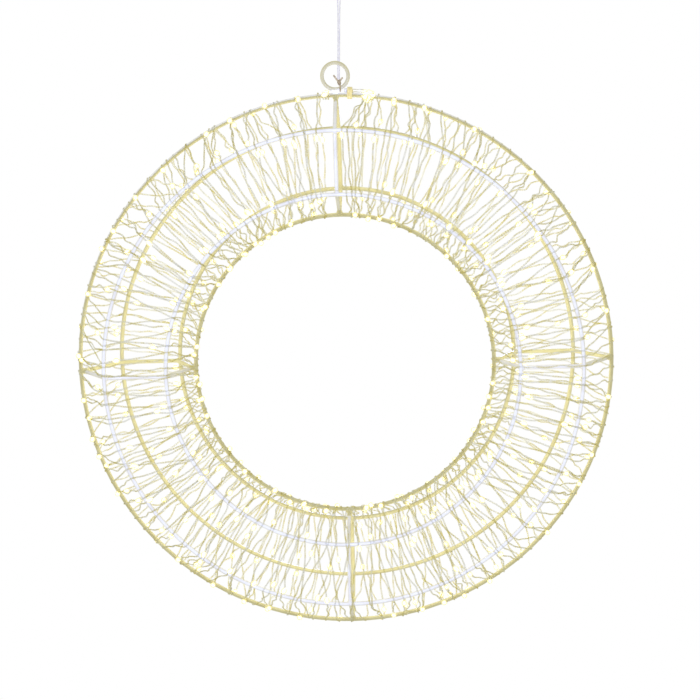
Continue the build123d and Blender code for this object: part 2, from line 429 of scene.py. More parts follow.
def nurbs_line(points: list, resolution: int) -> list:
    """Reads the smooth line of a NURBS route.

    Args:
        points: The route's points in metres, which are its control points.
        resolution: Steps from one control point to the next.

    Returns:
        Points along the line.
    """
    curve = nurbs_curve("route", points, resolution)
    holder = bpy.data.objects.new("route", curve)
    mesh = bpy.data.meshes.new_from_object(holder)
    line = [vertex.co.copy() for vertex in mesh.vertices]
    bpy.data.objects.remove(holder)
    bpy.data.meshes.remove(mesh)
    bpy.data.curves.remove(curve)
    return line


def nurbs_curve(name: str, points: list, resolution: int) -> bpy.types.Curve:
    """Makes a curve of one open NURBS spline.

    Args:
        name: The curve's name.
        points: Its control points in metres. It starts and ends on the first and the last.
        resolution: Steps from one control point to the next.

    Returns:
        The curve, without thickness.
    """
    curve = bpy.data.curves.new(name, "CURVE")
    curve.dimensions = "3D"
    curve.resolution_u = resolution
    spline = curve.splines.new("NURBS")
    spline.points.add(len(points) - 1)
    for control, point in zip(spline.points, points):
        control.co = (*point, 1.0)
    spline.order_u = 3
    spline.use_endpoint_u = True
    return curve


def spaced(line: list, step: float) -> list:
    """The line again, with points a step apart.

    Args:
        line: Points along a line.
        step: Distance in metres.

    Returns:
        Evenly spaced points, with the line's last point at the end.
    """
    made = [line[0].copy()]
    left = step
    for start, end in zip(line, line[1:]):
        span = (end - start).length
        travelled = 0.0
        while span - travelled >= left:
            travelled += left
            made.append(start.lerp(end, travelled / span))
            left = step
        left -= span - travelled
    if (made[-1] - line[-1]).length < step / 2:
        made.pop()
    made.append(line[-1].copy())
    return made


def dress(piece: bpy.types.Object, *materials: Material) -> bpy.types.Object:
    """Puts materials in an object's slots, in place of what it had."""
    piece.data.materials.clear()
    for material in materials:
        piece.data.materials.append(material)
    return piece


class Body(Enum):
    """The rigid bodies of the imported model."""

    WREATH = "wreath"
    LINE = "hanging_line"


def settle(piece: bpy.types.Object, body: Body, slot: str, *nodes: str) -> None:
    """Rides a finished piece on its body, and reports it.

    Args:
        piece: The piece.
        body: The rigid body that it moves with.
        slot: The name of its material slot. It is not used.
        nodes: The CAD nodes that it stands for, if any.
    """
    if nodes:
        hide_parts(*nodes)
    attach(piece, body.value)
    faces = len(piece.data.polygons) if piece.type == "MESH" else 0
    log.info("%s: %d faces, on %s", piece.name, faces, body.value)


# ---------------------------------------------------------------- the wire cage


@dataclass
class WireCage:
    """The welded frame: six hoops on four bent ribs, and the ring that it hangs by."""

    hoop_names: tuple = (
        "outer_hoop",
        "front_outer_hoop",
        "front_inner_hoop",
        "inner_hoop",
        "back_inner_hoop",
        "back_outer_hoop",
    )
    sides: tuple = ("top", "right", "bottom", "left")
    hoop_radii: list = field(default_factory=list)
    hoop_depths: list = field(default_factory=list)
    centre_z: float = 0.0
    wire_radius: float = 1.5 * MM

    def __post_init__(self) -> None:
        """Reads each hoop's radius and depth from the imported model."""
        for name in self.hoop_names:
            low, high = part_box(name)
            self.hoop_radii.append((high.x - low.x) / 2 - self.wire_radius)
            self.hoop_depths.append((high.y + low.y) / 2)
        low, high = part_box(self.hoop_names[0])
        self.centre_z = (low.z + high.z) / 2

    @property
    def corners(self) -> int:
        """How many hoops a turn of the string goes over."""
        return len(self.hoop_names)

    @property
    def middle_radius(self) -> float:
        """Half way from the inner hoop to the outer one."""
        return (self.hoop_radii[0] + self.hoop_radii[3]) / 2

    def angle_of(self, point: Vector) -> float:
        """A point's angle in degrees round the wreath."""
        return math.degrees(math.atan2(point.x, point.z - self.centre_z))

    def place(self, radius: float, depth: float, angle: float) -> Vector:
        """A point at a radius and depth, at an angle in degrees round the wreath."""
        turn = math.radians(angle)
        return Vector((radius * math.sin(turn), depth, self.centre_z + radius * math.cos(turn)))

    def corner(self, index: int) -> tuple[Vector, float]:
        """Measures the wreath's section, a hexagon with a hoop at each corner.

        Args:
            index: Which bend of the string, so that every sixth is at the same hoop.

        Returns:
            The outward direction at that hoop, as radius and depth, and half the angle inside the corner.
        """
        here, before, after = (
            Vector((self.hoop_radii[i % self.corners], self.hoop_depths[i % self.corners]))
            for i in (index, index - 1, index + 1)
        )
        to_before = (before - here).normalized()
        to_after = (after - here).normalized()
        return -(to_before + to_after).normalized(), to_before.angle(to_after) / 2

    def section_point(self, index: int, distance: float, angle: float) -> Vector:
        """Finds a point beside a hoop.

        Args:
            index: Which bend of the string, so that every sixth is at the same hoop.
            distance: How far outside the hoop's middle.
            angle: Degrees round the wreath.

        Returns:
            The point.
        """
        outward = self.corner(index)[0]
        radius = self.hoop_radii[index % self.corners]
        depth = self.hoop_depths[index % self.corners]
        return self.place(radius + outward.x * distance, depth + outward.y * distance, angle)

    def hoop_beside(self, index: int, point: Vector) -> Vector:
        """The middle of a hoop's wire at the same angle round the wreath as a point."""
        hoop = index % self.corners
        return self.place(self.hoop_radii[hoop], self.hoop_depths[hoop], self.angle_of(point))

    def section_middle(self, point: Vector) -> Vector:
        """The middle of the wreath's section at the same angle as a point."""
        return self.place(self.middle_radius, 0.0, self.angle_of(point))

    def nodes(self) -> list:
        """The CAD nodes of the cage, whose shape is kept."""
        names = list(self.hoop_names) + ["hanging_eye", "eye_weld"]
        for side in self.sides:
            names += [f"rib_{side}", f"rib_welds_{side}"]
        return [frame["nodes"][name] for name in names]

    def build(self) -> None:
        """Coats every wire and weld of the cage."""
        coat = PowderCoat().material()
        for node in self.nodes():
            dress(node, coat)
            log.info("%s: coated", node.name)


# ---------------------------------------------------------------- the light string


class Layer(Enum):
    """The two layers of the winding, the second wound back over the first."""

    UNDER = ("under", 1.85 * MM, True, 0.0, 11)
    OVER = ("over", 2.2 * MM, False, 1.0 * MM, 23)

    def __init__(self, label: str, offset: float, forward: bool, lamp_lift: float, seed: int) -> None:
        """Names a layer's values.

        Args:
            label: What its pieces are called after.
            offset: How far outside the hoops' middles it lies.
            forward: Whether it is wound clockwise.
            lamp_lift: How far its lamps stand out from the wire.
            seed: What its places are drawn from, with the next two numbers.
        """
        self.label = label
        self.offset = offset
        self.forward = forward
        self.lamp_lift = lamp_lift
        self.seed = seed


@dataclass
class LightString:
    """The string of lamps: three thin conductors twisted together, wound twice round the cage.

    Angles, the jitter and the waves' reaches are in degrees. The kinks' shift is a share of the gap
    between them, and their spread and bulge are shares of the kink.
    """

    cage: WireCage
    turns: int = 88
    start_angle: float = 9.0
    end_angle: float = 356.3
    waves: tuple = ((1.9, 5, 8), (0.9, 11, 15))
    fade_turns: int = 3
    jitter: float = 1.5
    strands: int = 4
    conductor_radius: float = 0.16 * MM
    twist_radius: float = 0.5 * MM
    twist_flat: float = 0.28
    twist_pitch: float = 11.0 * MM
    step: float = 2.0 * MM
    near_corner: float = 3.4 * MM
    kink: float = 1.3 * MM
    kinks: tuple = (3, 5, 6, 8)
    kink_shift: float = 0.25
    kink_spread: float = 0.55
    kink_bulge: tuple = (-0.2, 0.5)
    slack: float = 0.8
    lamp_pitch: float = 112.0 * MM
    lamp_scatter: float = 12.0 * MM
    lamp_from_hoop: float = 2.8 * MM
    lamp_clear: float = 3.5 * MM
    lamp_reach: float = 1.0 * MM
    lamp_pull: float = 0.35
    lamp_space: float = 5.0 * MM
    lamp_from_rib: float = 4.3 * MM

    def angles(self, layer: Layer) -> list:
        """Where each bend of a layer's turns lies round the wreath, in degrees.

        The turns bunch and lean along each hoop in waves of their own, so that the runs cross from layer
        to layer, and never within one. Each wave is a reach in degrees and the least and the most times
        that it goes round.

        Args:
            layer: Which layer.

        Returns:
            One angle for each bend, in the order that the layer is wound.
        """
        chance = random.Random(layer.seed)
        waves = []
        for _ in range(self.cage.corners):
            own = []
            for reach, low, high in self.waves:
                own.append((reach, chance.uniform(low, high), chance.uniform(0, TAU)))
            waves.append(own)
        bends = self.turns * self.cage.corners
        pitch = (self.end_angle - self.start_angle) / bends
        made = []
        for bend in range(bends + 1):
            from_end = min(1.0, min(bend, bends - bend) / (self.fade_turns * self.cage.corners))
            along = self.start_angle + bend * pitch
            stray = chance.uniform(-self.jitter, self.jitter)
            for reach, count, phase in waves[bend % self.cage.corners]:
                stray += reach * math.sin(math.radians(along) * count + phase)
            along += stray * from_end
            made.append(along if layer.forward else self.start_angle + self.end_angle - along)
        return made

    def bends(self, layer: Layer) -> list:
        """The sharp corners of a layer's route, one where the wire goes over each hoop."""
        made = []
        for bend, angle in enumerate(self.angles(layer)):
            half = self.cage.corner(bend)[1]
            made.append(self.cage.section_point(bend, layer.offset / math.sin(half), angle))
        return made

    def route(self, bends: list, seed: int) -> list:
        """The string's control points: over each hoop, and kinked between them.

        Args:
            bends: The sharp corners of the layer.
            seed: What the kinks are drawn from.

        Returns:
            Control points, in metres.
        """
        chance = random.Random(seed)
        points = [bends[0]]
        for start, end in zip(bends, bends[1:]):
            way = (end - start).normalized()
            points.append(start + way * self.near_corner)
            outward = ((start + end) / 2 - self.cage.section_middle((start + end) / 2)).normalized()
            across = way.cross(outward).normalized()
            kinks = chance.choice(self.kinks)
            reach = self.kink * (1.0 + self.slack * abs(way.y))
            for number in range(kinks):
                shift = chance.uniform(-self.kink_shift, self.kink_shift)
                share = (number + 1 + shift) / (kinks + 1)
                side = across * chance.gauss(0, self.kink_spread) * reach
                bulge = outward * chance.uniform(*self.kink_bulge) * reach
                points.append(start.lerp(end, share) + side + bulge)
            points.append(end - way * self.near_corner)
            points.append(end)
        return points

    def twisted(self, line: list) -> list:
        """Twists the conductors round a line.

        Args:
            line: Evenly spaced points of the string's middle.

        Returns:
            Three lines of points.
        """
        made = [[], [], []]
        travelled = 0.0
        for index, point in enumerate(line):
            before = line[max(index - 1, 0)]
            after = line[min(index + 1, len(line) - 1)]
            way = (after - before).normalized()
            outward = point - self.cage.section_middle(point)
            outward = (outward - way * outward.dot(way)).normalized()
            across = way.cross(outward)
            if index:
                travelled += (point - line[index - 1]).length
            for number, strand in enumerate(made):
                turn = TAU * (travelled / self.twist_pitch + number / len(made))
                off = outward * math.cos(turn) * self.twist_flat + across * math.sin(turn)
                strand.append(point + off * self.twist_radius)
        return made

    def lamp_places(self, bends: list, seed: int) -> list:
        """Spaces the lamps about a pitch apart, near a hoop and clear of the ribs and of each other.

        Args:
            bends: The sharp corners of the layer.
            seed: What the spacing is drawn from.

        Returns:
            For each lamp the run that it is on, its place there, and the bend that it is beside.
        """
        chance = random.Random(seed)
        places = []
        middles = []
        travelled = 0.0
        next_lamp = self.lamp_pitch / 2
        for run, (start, end) in enumerate(zip(bends, bends[1:])):
            span = (end - start).length
            if next_lamp < travelled + span:
                from_start = next_lamp - travelled
                near = min(from_start, span - from_start)
                near = self.lamp_from_hoop + self.lamp_pull * near
                along = near if from_start < span / 2 else span - near
                middle = start.lerp(end, along / span)
                from_rib = min(abs(middle.x), abs(middle.z - self.cage.centre_z))
                apart = all((middle - other).length > self.lamp_space for other in middles)
                if from_rib > self.lamp_from_rib and apart:
                    places.append((run, middle, run if from_start < span / 2 else run + 1))
                    middles.append(middle)
                next_lamp += self.lamp_pitch + chance.uniform(-self.lamp_scatter, self.lamp_scatter)
            travelled += span
        return places

    def build_layer(self, layer: Layer, lamp: "Droplet", lacquer: Material) -> None:
        """Winds one layer and sets its lamps.

        Args:
            layer: Which layer.
            lamp: The droplet that is copied along it.
            lacquer: The wire's finish.
        """
        bends = self.bends(layer)
        places = self.lamp_places(bends, layer.seed + 1)
        per_strand = math.ceil(len(bends) / self.strands)
        line = spaced(nurbs_line(self.route(bends, layer.seed + 2), 3), self.step)
        conductors = self.twisted(line)
        cuts = self.cuts(line, bends, per_strand)
        for strand in range(self.strands):
            label = f"{layer.label}_{strand + 1}"
            stretch = slice(cuts[strand], cuts[strand + 1] + 1)
            parts = [points[stretch] for points in conductors]
            wire = tubes("string_wire_" + label, parts, self.conductor_radius)
            settle(dress(wire, lacquer), Body.WREATH, "lacquered_wire", "light_wire_" + label)
            first = strand * per_strand
            last = min(first + per_strand, len(bends)) - 1
            lamps = [
                self.lamp_on(line[stretch], middle, bend, layer, lamp)
                for run, middle, bend in places
                if first <= run < last
            ]
            lamp.bunch(lamps, "droplets_" + label, "lamps_" + label)

    def cuts(self, line: list, bends: list, per_strand: int) -> list:
        """Finds where a layer is parted into its strands, half way between two hoops.

        Args:
            line: Evenly spaced points of the layer's middle.
            bends: The layer's sharp corners.
            per_strand: How many bends a strand has.

        Returns:
            Where each strand starts on the line, and where the last one ends.
        """
        made = [0]
        for strand in range(1, self.strands):
            last = strand * per_strand - 1
            middle = (bends[last] + bends[last + 1]) / 2
            made.append(min(range(len(line)), key=lambda i: (line[i] - middle).length_squared))
        return [*made, len(line) - 1]

    def lamp_on(
        self, line: list, middle: Vector, bend: int, layer: Layer, lamp: "Droplet"
    ) -> bpy.types.Object:
        """Sets one lamp on the string, clear of the hoop beside it.

        Args:
            line: Evenly spaced points of the string's middle.
            middle: The point that it is set nearest to.
            bend: Which bend it is beside.
            layer: The layer that it is on.
            lamp: The droplet that is copied.

        Returns:
            The lamp.
        """
        at = min(range(1, len(line) - 1), key=lambda i: (line[i] - middle).length_squared)
        way = (line[at + 1] - line[at - 1]).normalized()
        outward = line[at] - self.cage.section_middle(line[at])
        outward = (outward - way * outward.dot(way)).normalized()
        turn = Matrix((outward, way.cross(outward), way)).transposed().to_4x4()
        place = line[at] + outward * layer.lamp_lift
        hoop = self.cage.hoop_beside(bend, place)
        off = place - hoop
        off *= max(1.0, self.lamp_clear / off.length)
        radial = Vector((hoop.x, 0.0, hoop.z - self.cage.centre_z)).normalized()
        if bend % self.cage.corners == 0 and off.dot(radial) > self.lamp_reach:
            beside = math.sqrt(self.lamp_clear**2 - self.lamp_reach**2)
            off = radial * self.lamp_reach + Vector((0.0, math.copysign(beside, off.y), 0.0))
        place = hoop + off
        return copy_to(lamp.piece, Matrix.Translation(place) @ turn)

    def build(self, lamp: "Droplet", lacquer: Material) -> None:
        """Winds both layers, the lower one first."""
        for layer in Layer:
            self.build_layer(layer, lamp, lacquer)


@dataclass
class Droplet:
    """One lamp: a long drop of resin over the diode, modelled once and copied along the string."""

    radius: float = 2.0 * MM
    half_length: float = 2.6 * MM
    pinch_from: float = 0.8
    pinch: float = 0.55
    core_radius: float = 1.5 * MM
    core_stretch: float = 1.7
    piece: bpy.types.Object | None = None

    def build(self) -> "Droplet":
        """Shapes the drop from a sphere: drawn out along the wire and pinched at both ends."""
        deselect_all()
        bpy.ops.mesh.primitive_uv_sphere_add(segments=8, ring_count=6, radius=self.radius)
        drop = new_piece("droplet")
        bpy.ops.object.mode_set(mode="EDIT")
        bpy.ops.mesh.select_all(action="SELECT")
        scale_about(Vector(), 1.0, 1.0, self.half_length / self.radius)
        for way in (1, -1):
            pick(drop, lambda co, _: co.z * way > self.half_length * self.pinch_from, "VERT")
            scale_about(Vector(), self.pinch, self.pinch, 1.0)
        bpy.ops.object.mode_set(mode="OBJECT")
        bpy.ops.object.shade_smooth()
        deselect_all()
        bpy.ops.mesh.primitive_ico_sphere_add(subdivisions=1, radius=self.core_radius)
        core = new_piece("diode")
        bpy.ops.object.mode_set(mode="EDIT")
        bpy.ops.mesh.select_all(action="SELECT")
        scale_about(Vector(), 1.0, 1.0, self.core_stretch)
        bpy.ops.object.mode_set(mode="OBJECT")
        bpy.ops.object.shade_smooth()
        dress(drop, LampResin().material(), LampCore().material())
        dress(core, *drop.data.materials)
        for face in core.data.polygons:
            face.material_index = 1
        self.piece = join([drop, core], "droplet")
        return self

    def bunch(self, lamps: list, name: str, *nodes: str) -> None:
        """Makes copies of the lamp one piece, in place of its CAD nodes, if any."""
        made = join(lamps, name)
        made.visible_diffuse = False
        settle(made, Body.WREATH, "lamp_resin", *nodes)

    def remove(self) -> None:
        """Takes the pattern lamp off the bench."""
        bpy.data.objects.remove(self.piece)


@dataclass
class StringEnds:
    """Both ends of the string, wrapped on the outer hoop, with the lead, its tie and its sleeve.

    Spans and the fan are angles in degrees. The sleeve's barrel and neck are shares of its length. A
    wrap's stray and a bunched lamp's distance are in millimetres.
    """

    cage: WireCage
    string: LightString
    start_span: tuple = (5.9, 7.9)
    turn_span: tuple = (-2.7, -1.5)
    fan: tuple = (
        *(6.6, 1.6, 3.2, 4.6, 4.0, 3.0),
        *(6.9, 2.9, 4.9, 6.2, 5.0, 5.4),
        *(7.2, 4.6, 6.0, 7.8, 7.2, 6.6),
        *(7.6, 6.4, 8.0),
    )
    fan_offset: float = 2.4 * MM
    fan_seed: int = 5
    wrap_radius: float = 2.4525 * MM
    wrap_stray: float = 0.55
    wrap_step: float = 0.9 * MM
    per_wrap: int = 12
    start_wraps: int = 6
    turn_wraps: int = 3
    start_lamps: tuple = (
        *((6.1, 20, 2.9), (6.5, -60, 3.1), (6.2, 250, 3.2), (7.0, -15, 3.0)),
        *((7.1, -100, 3.2), (7.6, 40, 2.8), (7.55, -75, 3.0), (6.8, 180, 3.2)),
    )
    turn_lamps: tuple = ((-2.3, -70, 2.3), (-1.95, 10, 2.2))
    lead_offsets: tuple = (2.4 * MM, 4.3 * MM)
    lead_span: tuple = (2.38, 5.85)
    lead_steps: int = 8
    lead_step: float = 0.8 * MM
    lead_wave: float = 0.16 * MM
    lead_radius: float = 0.2 * MM
    sleeve_span: tuple = (1.8, 2.38)
    sleeve_offset: float = 3.35 * MM
    sleeve_radius: float = 1.536 * MM
    sleeve_barrel: float = 0.6
    sleeve_neck: float = 0.17
    sleeve_shrink: float = 0.72
    sleeve_wall: float = 0.2 * MM
    sleeve_bore: float = 0.15 * MM
    sleeve_bevel: float = 0.25 * MM

    def wrap(self, span: tuple, wraps: int) -> list:
        """The middle of the string as it is wrapped round the outer hoop.

        Args:
            span: The angles that it lies between.
            wraps: How many times it goes round.

        Returns:
            Evenly spaced points.
        """
        chance = random.Random(wraps)
        points = []
        steps = wraps * self.per_wrap
        for step in range(steps + 1):
            share = step / steps
            angle = span[0] + (span[1] - span[0]) * (0.5 - 0.5 * math.cos(math.pi * share))
            turn = TAU * wraps * share
            radius = self.wrap_radius + chance.uniform(0, self.wrap_stray) * MM
            hoop = self.cage.hoop_radii[0]
            points.append(self.cage.place(hoop + radius * math.cos(turn), radius * math.sin(turn), angle))
        return spaced(nurbs_line(points, 3), self.wrap_step)

    def around_hoop(self, angle: float, turn: float, distance: float) -> Matrix:
        """Where a lamp stands on the outer hoop.

        Args:
            angle: Degrees round the wreath.
            turn: Degrees round the hoop's wire.
            distance: How far from the wire's middle.

        Returns:
            The lamp's place and lean.
        """
        hoop = self.cage.hoop_radii[0]
        side = math.radians(turn)
        at = self.cage.place(hoop + distance * math.cos(side), distance * math.sin(side), angle)
        middle = self.cage.place(hoop, 0.0, angle)
        outward = (at - middle).normalized()
        way = Vector((math.cos(math.radians(angle)), 0.0, -math.sin(math.radians(angle))))
        most = 25
        lean = Matrix.Rotation(math.radians(turn * 3 % (2 * most) - most), 4, "X")
        turned = Matrix((outward, way.cross(outward), way)).transposed().to_4x4()
        return Matrix.Translation(at) @ turned @ lean

    def coil(
        self, name: str, span: tuple, wraps: int, places: tuple, lamp: Droplet, lacquer: Material
    ) -> None:
        """Wraps the string on the hoop, with lamps bunched on it.

        Args:
            name: The CAD node that it stands for.
            span: The angles that it lies between.
            wraps: How many times it goes round.
            places: Each lamp's angle, turn round the hoop's wire, and distance in millimetres.
            lamp: The droplet that is copied.
            lacquer: The wire's finish.
        """
        lines = self.string.twisted(self.wrap(span, wraps))
        wire = dress(tubes(f"{name}_wraps", lines, self.string.conductor_radius), lacquer)
        settle(wire, Body.WREATH, "lacquered_wire", name)
        lamps = [copy_to(lamp.piece, self.around_hoop(angle, turn, off * MM)) for angle, turn, off in places]
        lamp.bunch(lamps, f"{name}_droplets")

    def first_turns(self, lamp: Droplet, lacquer: Material) -> None:
        """Winds the loose first turns, which fan out from the wrapped start towards the top rib."""
        bends = [self.cage.section_point(bend, self.fan_offset, angle) for bend, angle in enumerate(self.fan)]
        line = spaced(nurbs_line(self.string.route(bends, self.fan_seed), 3), self.string.step)
        wire = tubes("string_first_turns", self.string.twisted(line), self.string.conductor_radius)
        settle(dress(wire, lacquer), Body.WREATH, "lacquered_wire")
        places = self.string.lamp_places(bends, self.fan_seed + 1)
        lamps = [self.string.lamp_on(line, middle, bend, Layer.OVER, lamp) for _, middle, bend in places]
        lamp.bunch(lamps, "droplets_first_turns")

    def lead(self, lacquer: Material) -> None:
        """Lays the two leads, each of two conductors, from the sleeve, under the tie, to the start."""
        lines = []
        for number, offset in enumerate(self.lead_offsets):
            points = []
            for step in range(self.lead_steps + 1):
                angle = self.lead_span[0] + (self.lead_span[1] - self.lead_span[0]) * step / self.lead_steps
                wave = self.lead_wave * math.sin(step * 1.9 + number * 2)
                points.append(self.cage.place(self.cage.hoop_radii[0] + offset + wave, wave, angle))
            lines += self.string.twisted(spaced(nurbs_line(points, 4), self.lead_step))[:2]
        wires = dress(tubes("lead_pair", lines, self.lead_radius, 1), lacquer)
        settle(wires, Body.WREATH, "lacquered_wire", "lead_wires")

    def sleeve(self) -> None:
        """Shrinks a short tube over the joint of the lead wires: round, and necked at both ends."""
        middle = sum(self.sleeve_span) / 2
        length = math.radians(self.sleeve_span[1] - self.sleeve_span[0]) * self.cage.hoop_radii[0]
        deselect_all()
        bpy.ops.mesh.primitive_cylinder_add(
            vertices=24, radius=self.sleeve_radius, depth=length * self.sleeve_barrel
        )
        tube = new_piece("shrink_sleeve")
        bpy.ops.object.mode_set(mode="EDIT")
        for way in (1, -1):
            pick(tube, lambda _, normal: normal.z * way > 0.9, "FACE")
            neck = (0, 0, way * length * self.sleeve_neck)
            bpy.ops.mesh.extrude_region_move(TRANSFORM_OT_translate={"value": neck})
            scale_about(Vector(), self.sleeve_shrink, self.sleeve_shrink, 1.0)
            bpy.ops.mesh.inset(thickness=self.sleeve_wall)
            bore = (0, 0, -way * self.sleeve_bore)
            bpy.ops.mesh.extrude_region_move(TRANSFORM_OT_translate={"value": bore})
        bpy.ops.object.mode_set(mode="OBJECT")
        bevel = tube.modifiers.new("soft edges", "BEVEL")
        bevel.width = self.sleeve_bevel
        bevel.segments = 3
        bpy.ops.object.modifier_apply(modifier=bevel.name)
        bpy.ops.object.shade_smooth()
        place = self.cage.place(self.cage.hoop_radii[0] + self.sleeve_offset, 0.0, middle)
        turn = Matrix.Rotation(math.radians(90 + middle), 4, "Y")
        tube.data.transform(Matrix.Translation(place) @ turn)
        dress(tube, Nylon("shrink_tube_clear", "#F4F3F4", "#E6E3DE", 0.28, grain_mm=0.7).material())
        settle(tube, Body.WREATH, "lead_pvc", "lead_sleeve")

    def build(self, lamp: Droplet, lacquer: Material) -> None:
        """Wraps both ends, and adds the lead and what holds it."""
        self.coil("start_coil", self.start_span, self.start_wraps, self.start_lamps, lamp, lacquer)
        self.coil("turn_coil", self.turn_span, self.turn_wraps, self.turn_lamps, lamp, lacquer)
        self.first_turns(lamp, lacquer)
        self.lead(lacquer)
        self.sleeve()
        tie = frame["nodes"]["cable_tie"]
        dress(tie, Nylon("moulded_nylon_buff", "#FBF7EC", "#F1E8CF", 0.4).material())
        log.info("%s: dressed", tie.name)


# ---------------------------------------------------------------- the hanging line


@dataclass
class HangingLine:
    """The doubled nylon line that the wreath hangs from, knotted on the ring.

    Points, gaps and the wraps' radius are in millimetres. The climb gives depths by height, and the top
    loop gives distances aside by height.
    """

    diameter: float = 0.9 * MM
    half_gap: float = 0.55
    lean: float = math.tan(math.radians(2.1))
    foot_x: float = 2.5
    climb: tuple = ((-2.6, 0.75), (9.6, 2.4), (61.0, 2.6))
    top_height: float = 66.0
    top_loop: tuple = ((-4.0, 69.0), (-2.6, 76.0), (2.6, 76.0), (4.0, 69.0))
    loop_x: float = 3.45 * MM
    loop_radius: float = 2.35 * MM
    knot_foot: tuple = (3.15, 0.1, -5.9)
    knot_head: tuple = (2.6, 0.5, -3.7)
    wraps: int = 3
    per_wrap: int = 12
    wrap_radius: float = 0.98
    wrap_belly: float = 0.12
    wrap_thickness: float = 0.4 * MM
    strands: tuple = ((3.3, 0.0, -6.9), (3.1, 0.1, -5.6), (2.7, 0.4, -4.0), (2.5, 0.7, -2.9))
    strand_gap: float = 0.42
    strand_thickness: float = 0.44 * MM
    tags: tuple = (
        ((2.6, 0.3, -4.4), (1.3, -0.1, -2.9), (0.2, -0.2, -1.2), (-1.1, -0.4, 0.6)),
        ((2.9, 0.3, -4.3), (4.0, 0.5, -3.1), (4.6, 0.1, -2.0), (5.5, -0.2, -1.4)),
    )
    tag_thickness: float = 0.62 * MM

    def route(self) -> list:
        """Up from the knot, behind the top of the ring, round a small loop and down beside itself."""
        middle = [(self.foot_x + self.lean * z, y, z) for z, y in self.climb]
        up = [(x - self.half_gap, y, z) for x, y, z in middle]
        down = [(x + self.half_gap, y, z) for x, y, z in reversed(middle)]
        top_x = self.foot_x + self.lean * self.top_height
        top_y = self.climb[-1][1]
        loop = [(top_x + aside, top_y, z) for aside, z in self.top_loop]
        return [Vector(point) * MM for point in up + loop + down]

    def line(self, nylon: Material) -> bpy.types.Object:
        """Makes the line as one smooth cord."""
        curve = nurbs_curve("line_cord", self.route(), 24)
        curve.bevel_depth = self.diameter / 2
        curve.bevel_resolution = 3
        curve.use_fill_caps = True
        curve.materials.append(nylon)
        cord = bpy.data.objects.new("line_cord", curve)
        bpy.context.scene.collection.objects.link(cord)
        settle(cord, Body.LINE, "line_nylon", "hanging_line")
        return cord

    def knot(self, nylon: Material) -> bpy.types.Object:
        """Ties the knot: a loop round the ring's wire, wraps round two strands, and two cut tags."""
        deselect_all()
        bpy.ops.mesh.primitive_torus_add(
            major_radius=self.loop_radius,
            minor_radius=self.diameter / 2,
            major_segments=40,
            minor_segments=12,
            rotation=(0, math.pi / 2, 0),
            location=on_ring(self.loop_x),
        )
        parts = [new_piece("line_loop")]
        bpy.ops.object.shade_smooth()
        foot = Vector(self.knot_foot) * MM
        head = Vector(self.knot_head) * MM
        axis = (head - foot).normalized()
        side = axis.cross(Vector((0, 1, 0))).normalized()
        other = axis.cross(side)
        wraps = []
        steps = self.wraps * self.per_wrap
        for step in range(steps + 1):
            share = step / steps
            turn = TAU * self.wraps * share
            radius = (self.wrap_radius + self.wrap_belly * math.sin(math.pi * share)) * MM
            wraps.append(foot.lerp(head, share) + (side * math.cos(turn) + other * math.sin(turn)) * radius)
        parts.append(tubes("wraps", [nurbs_line(wraps, 3)], self.wrap_thickness, 2))
        for shift in (-self.strand_gap, self.strand_gap):
            strand = [Vector(point) * MM + side * shift * MM for point in self.strands]
            parts.append(tubes("standing", [nurbs_line(strand, 6)], self.strand_thickness, 2))
        for tag in self.tags:
            points = [Vector(point) * MM for point in tag]
            parts.append(tubes("tag", [nurbs_line(points, 6)], self.tag_thickness, 2))
        knot = join(parts, "line_knot_tied")
        dress(knot, nylon)
        settle(knot, Body.LINE, "knot_nylon", "line_knot")
        return knot

    def build(self) -> None:
        drawn = Nylon("drawn_nylon_line", "#F2F2F8", "#DCDCE8", 0.3, alpha=0.85, grain_mm=0.6).material()
        # The knot is tied in the line's own nylon; its darker brown tint is painted shade of its dense, tight
        # turns.
        tied = Nylon("drawn_nylon_knot", "#CDBFA6", "#A2937A", 0.36, grain_mm=0.6).material()
        knot = self.knot(tied)
        cord = self.line(drawn)
        tuple(self.route()[0])


def on_ring(x: float) -> Vector:
    """The middle of the line's loop round the ring's wire."""
    low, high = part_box("hanging_eye")
    wire = (high.y - low.y) / 2
    radius = (high.x - low.x) / 2 - wire
    return Vector((x, 0.0, -math.sqrt(radius**2 - x**2)))


# ---------------------------------------------------------------- the studio


